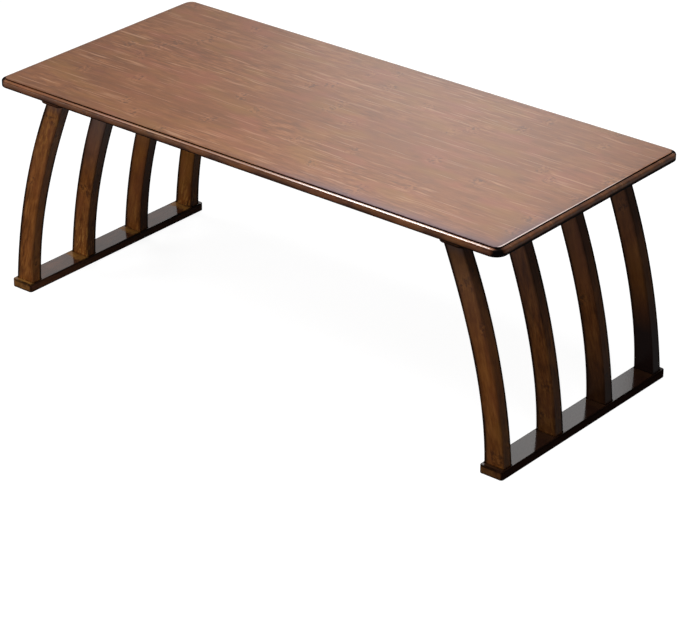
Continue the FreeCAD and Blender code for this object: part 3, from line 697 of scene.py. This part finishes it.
def bambooMaterial(name, look, place):
    # Laid bamboo strips with stain, glaze and a clear coat, with painted light and shade. place holds where
    # the grain runs, and functions that give the glaze with its painted shade and highlights, the coat, the
    # painted shades, the flecks and the painted golden light where a piece has them.
    values = bambooValues
    graph = Graph(name)
    axes = boardGrain(graph, place)
    chance, ownSlice, within = stripPlan(graph, axes, look)
    colour, fibre = stripColour(graph, axes, look, chance, ownSlice)
    node, dark, pale = nodeMarks(graph, axes, chance, ownSlice)
    colour = graph.mix(graph.times(pale, values["nodeShare"]), colour, look["light"])
    colour = graph.mix(graph.times(dark, values["nodeShare"]), colour, look["nodeTint"])
    joint, paleLine, darkLine = jointMarks(graph, axes, look, within)
    colour = graph.mix(paleLine, colour, look["jointPale"])
    colour = graph.mix(darkLine, colour, look["dark"])

    # Painted shade: plum with a grey reflection toward the leg heads and round the top's front right corner,
    # near black toward the leg feet and on the right rails
    for key, tint in (("paintedPlumShade", "plumShadeTint"), ("paintedDarkShade", "darkShadeTint")):
        if key in place:
            colour = graph.mix(place[key](graph), colour, look[tint])
    if "flecks" in place:
        speck = graph.fade(grainNoise(graph, axes, "speck"), values["speckBand"])
        colour = graph.mix(graph.times(speck, place["flecks"](graph)), colour, look["fleck"])
    # Painted golden reflection and light on the foot rails
    if "paintedLight" in place:
        colour = graph.mix(place["paintedLight"](graph), colour, look["fleck"])

    # The glaze, with the painted shade and highlights in it, is wiped unevenly, so its edge wanders
    laid = place["glazeAndPaintedLight"](graph)
    wiped = graph.fade(grainNoise(graph, axes, "uneven"), values["unevenBand"], *look["uneven"])
    glazeAndPaintedLight = graph.maths("MINIMUM", graph.times(laid, wiped), 1.0)
    colour = graph.mix(graph.times(glazeAndPaintedLight, look["glazeShare"]), colour, look["glazeAndPaintedLight"])
    # The painted shade turns black, and the painted highlight pale
    colour = graph.mix(graph.fade(laid, values["shadeBlackBand"]), colour, look["shadeBlack"])
    colour = graph.mix(graph.fade(laid, values["highlightBand"]), colour, look["paintedHighlight"])

    polish = place["polish"](graph)
    rough = graph.plus(graph.swing(fibre, look["roughnessSpread"]), look["roughness"])
    rough = graph.minus(rough, graph.times(polish, look["roughness"] - look["polishedRoughness"]))
    peel = grainNoise(graph, axes, "peel")
    height = 0.0
    for key, value in (("fibre", fibre), ("node", node), ("joint", joint), ("peel", peel)):
        height = graph.plus(height, graph.times(value, values["relief"][key]))
    return graph.shader({
        "Base Color": colour, "Roughness": rough, "Normal": graph.bump(look["bump"], 1.0, height),
        "IOR": values["refraction"], "Coat IOR": values["refraction"],
        "Specular IOR Level": graph.fade(laid, values["dullBand"], look["gloss"], 0.0),
        "Coat Weight": polish, "Coat Roughness": look["coatRoughness"],
    })


def readAttribute(name):
    return lambda graph: graph.add("ShaderNodeAttribute", attribute_name=name).outputs["Fac"]


# Rails: a left and a right one share a material, so where they differ, there are two values

railValues = {
    "changeOver": (-0.1, 0.1),   # x between the left rails and the right ones
    "glazeReach": (0.0006, 0.0036),      # in from an arris, from full to none
    "polish": 0.02,              # of the top rails and the battens
    # Coat of the foot rails: it pools on the upper face, and is thin where the painted light lies
    "topFace": (0.00012, 0.00002),       # depths between which it comes in
    "sideCoat": 0.03,
    "topCoat": (0.9, 0.2),
    "coatUnderPaintedLight": 0.4,
    "fullPaintedLight": 0.8,
    # Painted shade, near black, on the right rails, but for the front ends
    "sideShade": (0.0, 0.8),
    "frontEnd": 0.002,
    # Painted golden reflection of each leg on the upper face, in an uneven patch in front of its foot, and
    # painted golden light on the front end
    "paintedLight": (0.85, 0.03),
    "paintedLightDepth": 0.002,
    "reflectionGap": 0.006,            # from a leg's front to the middle of its patch
    "reflectionReach": (0.002, 0.010),
    "reflectionSpread": 0.02,
    "paintedLightNoise": (140.0, 3.0, 0.6),      # scale, detail and roughness
    "frontPaintedLight": (0.32, 0.15),
    "frontLightDepth": 0.001,
    "unevenBand": (0.35, 0.65),
    "uneven": (0.4, 1.6),
}
railKinds = {
    "foot_rail": ("stainedBambooFootRails", (0.4, 0.2, 0)),
    "top_rail": ("stainedBambooTopRails", (0.7, 0.5, 0)),
    "hinge_batten": ("stainedBambooBattens", (0.1, 0.9, 0)),
}


def leftOrRight(graph, parts, pair):
    return graph.fade(parts[0], railValues["changeOver"], *pair)


def railGlaze(graph, middle, half):
    # Dark along the arrises. The distance from the nearest arris of a box, or of its mirror image across
    # x = 0, is the middle one of the distances to its three pairs of faces.
    parts = graph.split(graph.objectPlace())
    gaps = []
    for number in range(3):
        away = graph.minus(graph.maths("ABSOLUTE", parts[number]), middle[number])
        gaps.append(graph.minus(half[number], graph.maths("ABSOLUTE", away)))
    least = graph.maths("MINIMUM", gaps[0], gaps[1])
    most = graph.maths("MAXIMUM", gaps[0], gaps[1])
    distance = graph.maths("MAXIMUM", least, graph.maths("MINIMUM", most, gaps[2]))
    return graph.fade(distance, railValues["glazeReach"], 1.0, 0.0)


def railPolish(graph, topZ, paintedLight):
    values = railValues
    parts = graph.split(graph.objectPlace())
    start, end = (topZ - depth for depth in values["topFace"])
    coat = graph.fade(parts[2], (start, end), values["sideCoat"], 1.0)
    coat = graph.times(coat, leftOrRight(graph, parts, values["topCoat"]))
    return graph.times(coat, graph.fade(paintedLight, (0.0, values["fullPaintedLight"]), 1.0, values["coatUnderPaintedLight"]))


# Painted shade, near black, on the right rails but for their front ends
def railShade(graph, frontY):
    parts = graph.split(graph.objectPlace())
    behindFront = graph.fade(parts[1], (frontY, frontY + railValues["frontEnd"]))
    return graph.times(leftOrRight(graph, parts, railValues["sideShade"]), behindFront)


# Painted golden reflection in front of each leg's foot, and painted golden light on the front end
def railPaintedLight(graph, topZ, frontY, patchPlaces):
    values = railValues
    source = graph.objectPlace()
    parts = graph.split(source)
    onTop = graph.fade(parts[2], (topZ - values["paintedLightDepth"], topZ))
    nearest = None
    for place in patchPlaces:
        away = graph.maths("ABSOLUTE", graph.minus(parts[1], place))
        nearest = away if nearest is None else graph.maths("MINIMUM", nearest, away)
    noise = graph.noise(source, *values["paintedLightNoise"])
    edge = graph.plus(nearest, graph.swing(noise, values["reflectionSpread"]))
    patch = graph.fade(edge, values["reflectionReach"], 1.0, 0.0)
    patch = graph.times(patch, leftOrRight(graph, parts, values["paintedLight"]))
    onFront = graph.fade(parts[1], (frontY, frontY + values["frontLightDepth"]), 1.0, 0.0)
    onFront = graph.times(onFront, leftOrRight(graph, parts, values["frontPaintedLight"]))
    onFront = graph.times(onFront, graph.fade(noise, values["unevenBand"], *values["uneven"]))
    return graph.maths("MAXIMUM", graph.times(onTop, patch), onFront)


def railPlace(kind, shift):
    # The grain runs along y. A distance is measured on the right rail, and its mirror image has the same.
    low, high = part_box("right_" + kind)
    middle = ((low.x + high.x) / 2, 0.0, (low.z + high.z) / 2)
    half = [(high[axis] - low[axis]) / 2 for axis in range(3)]
    place = {
        "from": "object", "turn": (0, 0, math.radians(90)), "shift": shift,
        "paintedDarkShade": lambda graph: railShade(graph, low.y),
        "glazeAndPaintedLight": lambda graph: railGlaze(graph, middle, half),
        "polish": lambda graph: railValues["polish"],
    }
    if kind == "foot_rail":
        fronts = [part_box("right_leg_" + str(number))[0].y - railValues["reflectionGap"] for number in legNumbers]
        place["paintedLight"] = lambda graph: railPaintedLight(graph, high.z, low.y, fronts)
        place["polish"] = lambda graph: railPolish(graph, high.z, place["paintedLight"](graph))
    return place


boardPlace = {"from": "attribute", "glazeAndPaintedLight": readAttribute("glazeAndPaintedLight"), "polish": readAttribute("polish")}
topPlace = dict(boardPlace, paintedPlumShade=readAttribute("shade"))
legPlace = dict(boardPlace, flecks=readAttribute("flecks"), paintedDarkShade=readAttribute("paintedDarkShade"),
                paintedPlumShade=readAttribute("paintedPlumShade"))
topMaterial = bambooMaterial("stainedBambooTop", topLook, topPlace)
legMaterial = bambooMaterial("stainedBambooLegs", legLook, legPlace)
railMaterials = {kind: bambooMaterial(name, railLook, railPlace(kind, shift))
                 for kind, (name, shift) in railKinds.items()}


# Fittings

steelValues = {
    "plated": {"colour": (0.150, 0.105, 0.066, 1), "roughness": 0.26},
    "screws": {"colour": (0.115, 0.080, 0.050, 1), "roughness": 0.22},
    "brushScales": (2500, 120, 2500),
    "dulling": 0.55,             # of the plate's colour, in the bloom and the spots
    "bloom": (90.0, 3.0),        # scale and detail
    "bloomShare": 0.35,
    "bloomRoughness": 0.22,
    "spots": (420.0, 2.0),
    "spotBand": (0.62, 0.72),
    "spotShare": 0.4,
    "spotRoughness": 0.15,
    "bump": (0.15, 0.00004),     # strength and depth
}


def steelMaterial(name, values, kind):
    # Antique bronze plate: fine brushing, a soft patchy bloom and a few dull spots
    graph = Graph(name)
    source = graph.objectPlace()
    plate, roughness = values[kind]["colour"], values[kind]["roughness"]
    dull = tuple(value * values["dulling"] for value in plate[:3]) + (1,)
    brushed = graph.noise(graph.stretched(graph.split(source), values["brushScales"]), 1.0)
    bloom = graph.noise(source, *values["bloom"])
    spots = graph.fade(graph.noise(source, *values["spots"]), values["spotBand"])
    colour = graph.mix(graph.times(bloom, values["bloomShare"]), plate, dull)
    colour = graph.mix(graph.times(spots, values["spotShare"]), colour, dull)
    rough = graph.plus(graph.times(bloom, values["bloomRoughness"]), roughness)
    rough = graph.plus(rough, graph.times(spots, values["spotRoughness"]))
    bump = graph.bump(*values["bump"], brushed)
    return graph.shader({"Base Color": colour, "Metallic": 1.0, "Roughness": rough, "Normal": bump})


rubberValues = {
    "colour": (0.018, 0.017, 0.016, 1), "roughness": 0.75,
    "dustColour": (0.05, 0.046, 0.042, 1), "dust": (60.0, 4.0), "dustBand": (0.45, 0.75), "dustShare": 0.5,
    "pebble": (1400.0, 3.0), "bump": (0.5, 0.0002),
}


def rubberMaterial(name, values):
    # Matt rubber with a fine pebble and a little dust in it
    graph = Graph(name)
    source = graph.objectPlace()
    pebble = graph.noise(source, *values["pebble"])
    dust = graph.fade(graph.noise(source, *values["dust"]), values["dustBand"])
    colour = graph.mix(graph.times(dust, values["dustShare"]), values["colour"], values["dustColour"])
    bump = graph.bump(*values["bump"], pebble)
    return graph.shader({"Base Color": colour, "Roughness": values["roughness"], "Normal": bump})


platedSteel = steelMaterial("bronzePlatedSteel", steelValues, "plated")
screwSteel = steelMaterial("bronzeScrews", steelValues, "screws")
padRubber = rubberMaterial("blackRubber", rubberValues)


def dress(piece, material):
    piece.data.materials.clear()
    piece.data.materials.append(material)


dress(tabletop, topMaterial)
for leg in legs:
    dress(leg, legMaterial)
for name, piece in nodes.items():
    kind = name.split("_", 1)[-1]
    if kind in railMaterials:
        dress(piece, railMaterials[kind])
    elif kind == "foot_pads":
        dress(piece, padRubber)
    elif kind.endswith("screws") or kind.endswith("leg_screw"):
        dress(piece, screwSteel)
    elif piece.hide_render is False:
        dress(piece, platedSteel)
print("materials made:", len(bpy.data.materials))


# Stage, lights and camera

lightValues = [
    {"name": "beadLamp", "place": (-0.65, 0.20, 1.56), "target": (0.25, -0.18, 0.3),
     "size": (0.3, 0.3), "power": 5.6},
    {"name": "lowPanel", "place": (-1.0, -1.1, 0.36), "target": (-0.3, 0, 0.12),
     "size": (0.4, 0.3), "power": 7.1},
    {"name": "overhead", "place": (0.4, -0.5, 1.3), "target": (0.1, -0.1, 0.3),
     "size": (0.7, 0.7), "power": 13.6},
    {"name": "sheenPanel", "place": (-1.1, 1.8, 1.2), "target": (0.1, 0, 0.3),
     "size": (0.7, 0.7), "power": 11.1},
]
stageValues = {
    "sky": (0.80, 0.87, 1.0, 1), "skyStrength": 0.04,
    "reach": 9.0,                # half the floor's side
    "paper": (0.30, 0.30, 0.30, 1), "glow": 0.92,
    "white": (1, 1, 1, 1),
}
cameraValues = {
    "yaw": 39.3045, "pitch": 26.822, "roll": -0.27,         # degrees
    "place": (2.16558, -2.62459, 1.74753),
    "focalPixels": 2960.32, "imageWidth": 679, "sensorWidth": 36.0,
    "clip": (0.05, 60.0),
}


def areaLight(name, place, target, size, power):
    lamp = bpy.data.lights.new(name, "AREA")
    lamp.shape = "RECTANGLE"
    lamp.size, lamp.size_y = size
    lamp.energy = power
    holder = bpy.data.objects.new(name, lamp)
    holder.location = place
    holder.rotation_euler = (Vector(target) - Vector(place)).to_track_quat("-Z", "Y").to_euler()
    bpy.context.scene.collection.objects.link(holder)


def seenRays(graph):
    # 1 for rays from the camera, in a reflection and through glass, 0 for rays that carry light
    path = graph.add("ShaderNodeLightPath").outputs
    most = graph.maths("MAXIMUM", path["Is Camera Ray"], path["Is Glossy Ray"])
    return graph.maths("MAXIMUM", most, path["Is Transmission Ray"])


def makeWorld(values):
    # White where it is seen, and a faint cool sky as a light
    world = bpy.data.worlds.new("studio")
    bpy.context.scene.world = world
    world.use_nodes = True
    graph = Graph("", world.node_tree)
    seen = graph.add("ShaderNodeBackground", {0: values["white"], 1: 1.0})
    lit = graph.add("ShaderNodeBackground", {0: values["sky"], 1: values["skyStrength"]})
    mixed = graph.add("ShaderNodeMixShader", {0: seenRays(graph), 1: lit.outputs[0], 2: seen.outputs[0]})
    graph.add("ShaderNodeOutputWorld", {0: mixed.outputs[0]})


def floorMaterial(values):
    # Pale paper: it catches a faint shadow, and glows where it is seen, so that it stays white
    graph = Graph("palePaper")
    paper = graph.add("ShaderNodeBsdfDiffuse", {"Color": values["paper"]})
    glow = graph.add("ShaderNodeEmission", {"Color": values["white"], "Strength": values["glow"]})
    both = graph.add("ShaderNodeAddShader", {0: paper.outputs[0], 1: glow.outputs[0]})
    mixed = graph.add("ShaderNodeMixShader", {0: seenRays(graph), 1: paper.outputs[0], 2: both.outputs[0]})
    graph.add("ShaderNodeOutputMaterial", {0: mixed.outputs[0]})
    return graph.material


def makeFloor(values):
    mesh = bpy.data.meshes.new("studioFloor")
    reach = values["reach"]
    corners = [(-reach, -reach, 0), (reach, -reach, 0), (reach, reach, 0), (-reach, reach, 0)]
    mesh.from_pydata(corners, [], [(0, 1, 2, 3)])
    floor = bpy.data.objects.new("studioFloor", mesh)
    bpy.context.scene.collection.objects.link(floor)
    dress(floor, floorMaterial(values))


def makeCamera(values):
    # The yaw turns the camera from +Y toward -X, the pitch tips it down, and the roll is about its own axis
    yaw, pitch, roll = (math.radians(values[key]) for key in ("yaw", "pitch", "roll"))
    ahead = Vector((-math.sin(yaw) * math.cos(pitch), math.cos(yaw) * math.cos(pitch), -math.sin(pitch)))
    right = Vector((math.cos(yaw), math.sin(yaw), 0))
    down = ahead.cross(right)
    turnedRight = right * math.cos(roll) + down * math.sin(roll)
    turnedDown = down * math.cos(roll) - right * math.sin(roll)
    lens = bpy.data.cameras.new("photoCamera")
    lens.sensor_fit = "HORIZONTAL"
    lens.sensor_width = values["sensorWidth"]
    lens.lens = values["focalPixels"] / values["imageWidth"] * values["sensorWidth"]
    lens.clip_start, lens.clip_end = values["clip"]
    holder = bpy.data.objects.new("photoCamera", lens)
    axes = Matrix((turnedRight, -turnedDown, -ahead)).transposed()
    holder.matrix_world = Matrix.Translation(values["place"]) @ axes.to_4x4()
    bpy.context.scene.collection.objects.link(holder)
    bpy.context.scene.camera = holder


for lampValues in lightValues:
    areaLight(**lampValues)
makeWorld(stageValues)
makeFloor(stageValues)
makeCamera(cameraValues)
bpy.context.scene.view_settings.view_transform = "Standard"
print("stage, lights and camera made")
